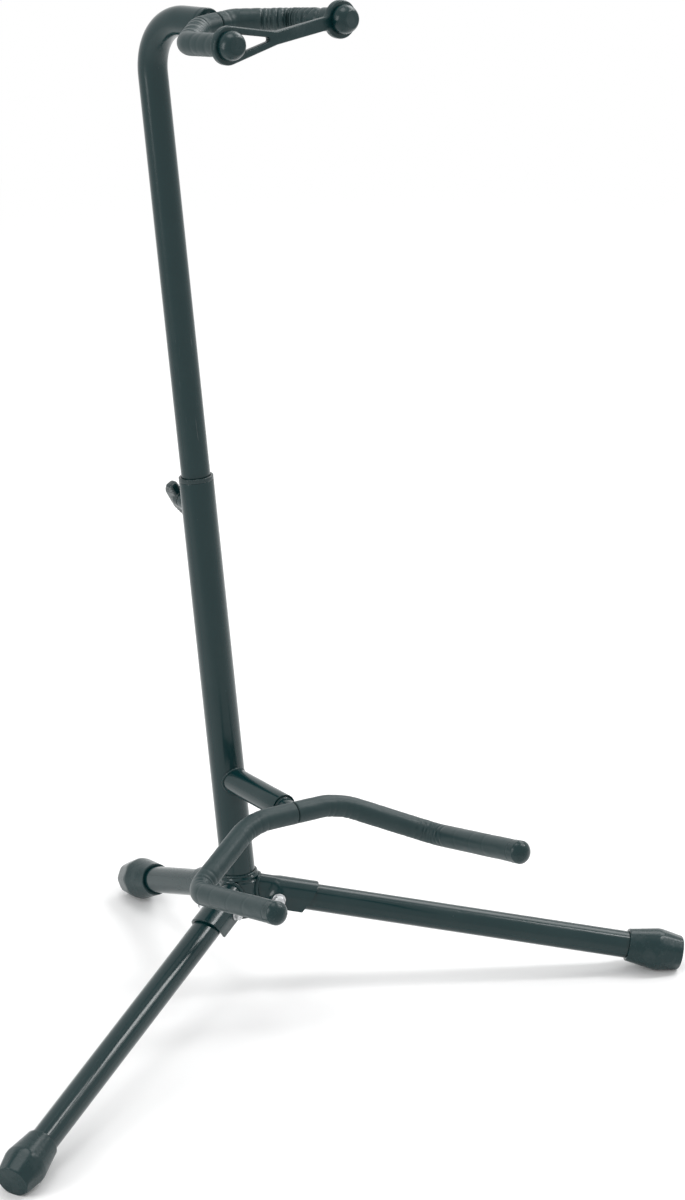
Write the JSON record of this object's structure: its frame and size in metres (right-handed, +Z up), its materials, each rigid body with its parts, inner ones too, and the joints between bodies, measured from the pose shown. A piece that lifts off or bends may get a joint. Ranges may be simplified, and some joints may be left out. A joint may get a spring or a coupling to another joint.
{
  "type": "guitar stand",
  "caption": "Folding tripod guitar stand: leaning telescopic column, padded body cradle on a stub, gooseneck with padded neck yoke and rubber strap.",
  "frame": {"origin": "on the floor, at the middle of the stand's outline seen from above", "axes": "+Z up, -Y to the front where the guitar stands, +X to the side"},
  "size_m": [0.58, 0.3844, 0.748],
  "materials": {
    "lower_column": "satin black powder coat",
    "column_plug": "moulded black",
    "column_bushing": "moulded black",
    "hub_collar": "satin black powder coat",
    "clamp_boss": "satin black powder coat",
    "bracket_left": "satin black powder coat",
    "bracket_right": "satin black powder coat",
    "bracket_rear": "satin black powder coat",
    "cradle_stub": "satin black powder coat",
    "cradle_stem": "satin black powder coat",
    "cradle_rod": "bright zinc plate",
    "cradle_sleeve_left": "soft matt black",
    "cradle_sleeve_right": "soft matt black",
    "cradle_tips": "soft matt black",
    "leg_bolts": "bright zinc plate",
    "leg_washers": "bright zinc plate",
    "leg_nuts": "bright zinc plate",
    "leg_left": "satin black powder coat",
    "leg_right": "satin black powder coat",
    "leg_rear": "satin black powder coat",
    "foot_left": "soft matt black",
    "foot_right": "soft matt black",
    "foot_rear": "soft matt black",
    "mast": "satin black powder coat",
    "mast_plug": "moulded black",
    "yoke_block": "satin black powder coat",
    "yoke_rod": "bright zinc plate",
    "yoke_sleeve_left": "soft matt black",
    "yoke_sleeve_right": "soft matt black",
    "yoke_balls": "soft matt black",
    "neck_strap": "soft matt black",
    "clamp_screw": "bright zinc plate",
    "clamp_wing": "moulded black"
  },
  "bodies": {
    "base": {"lower_column": "lower_column", "column_plug": "column_plug", "column_bushing": "column_bushing", "hub_collar": "hub_collar", "clamp_boss": "clamp_boss", "bracket_left": "bracket_left", "bracket_right": "bracket_right", "bracket_rear": "bracket_rear", "cradle_stub": "cradle_stub", "cradle_stem": "cradle_stem", "cradle_rod": "cradle_rod", "cradle_sleeve_left": "cradle_sleeve_left", "cradle_sleeve_right": "cradle_sleeve_right", "cradle_tips": "cradle_tips", "leg_bolts": "leg_bolts", "leg_washers": "leg_washers", "leg_nuts": "leg_nuts"},
    "leg_left": {"leg_left": "leg_left", "foot_left": "foot_left"},
    "leg_right": {"leg_right": "leg_right", "foot_right": "foot_right"},
    "leg_rear": {"leg_rear": "leg_rear", "foot_rear": "foot_rear"},
    "mast_guide": {"mast_plug": "mast_plug"},
    "mast": {"mast": "mast", "yoke_block": "yoke_block", "yoke_rod": "yoke_rod", "yoke_sleeve_left": "yoke_sleeve_left", "yoke_sleeve_right": "yoke_sleeve_right", "yoke_balls": "yoke_balls", "neck_strap": "neck_strap"},
    "clamp": {"clamp_screw": "clamp_screw", "clamp_wing": "clamp_wing"}
  },
  "joints": [
    {"name": "leg_left_fold", "type": "hinge", "parent": "base", "child": "leg_left", "pos_m": [-0.02461, 0.01379, 0.07222], "axis": [0.5, -0.866, 0], "range_deg": [0, 72]},
    {"name": "leg_right_fold", "type": "hinge", "parent": "base", "child": "leg_right", "pos_m": [0.02461, 0.01379, 0.07222], "axis": [0.5, 0.866, 0], "range_deg": [0, 72]},
    {"name": "leg_rear_fold", "type": "hinge", "parent": "base", "child": "leg_rear", "pos_m": [0, 0.05469, 0.06667], "axis": [-1, 0, 0], "range_deg": [0, 62]},
    {"name": "mast_slide", "type": "slide", "parent": "base", "child": "mast_guide", "axis": [0, 0.1693, 0.9856], "range_m": [-0.19, 0.055]},
    {"name": "mast_turn", "type": "hinge", "parent": "mast_guide", "child": "mast", "pos_m": [0, 0.06441, 0.28989], "axis": [0, 0.1693, 0.9856], "continuous": true},
    {"name": "clamp_screw_turn", "type": "hinge", "parent": "base", "child": "clamp", "pos_m": [0, 0.08977, 0.36367], "axis": [0, 0.9856, -0.1693], "continuous": true}
  ]
}
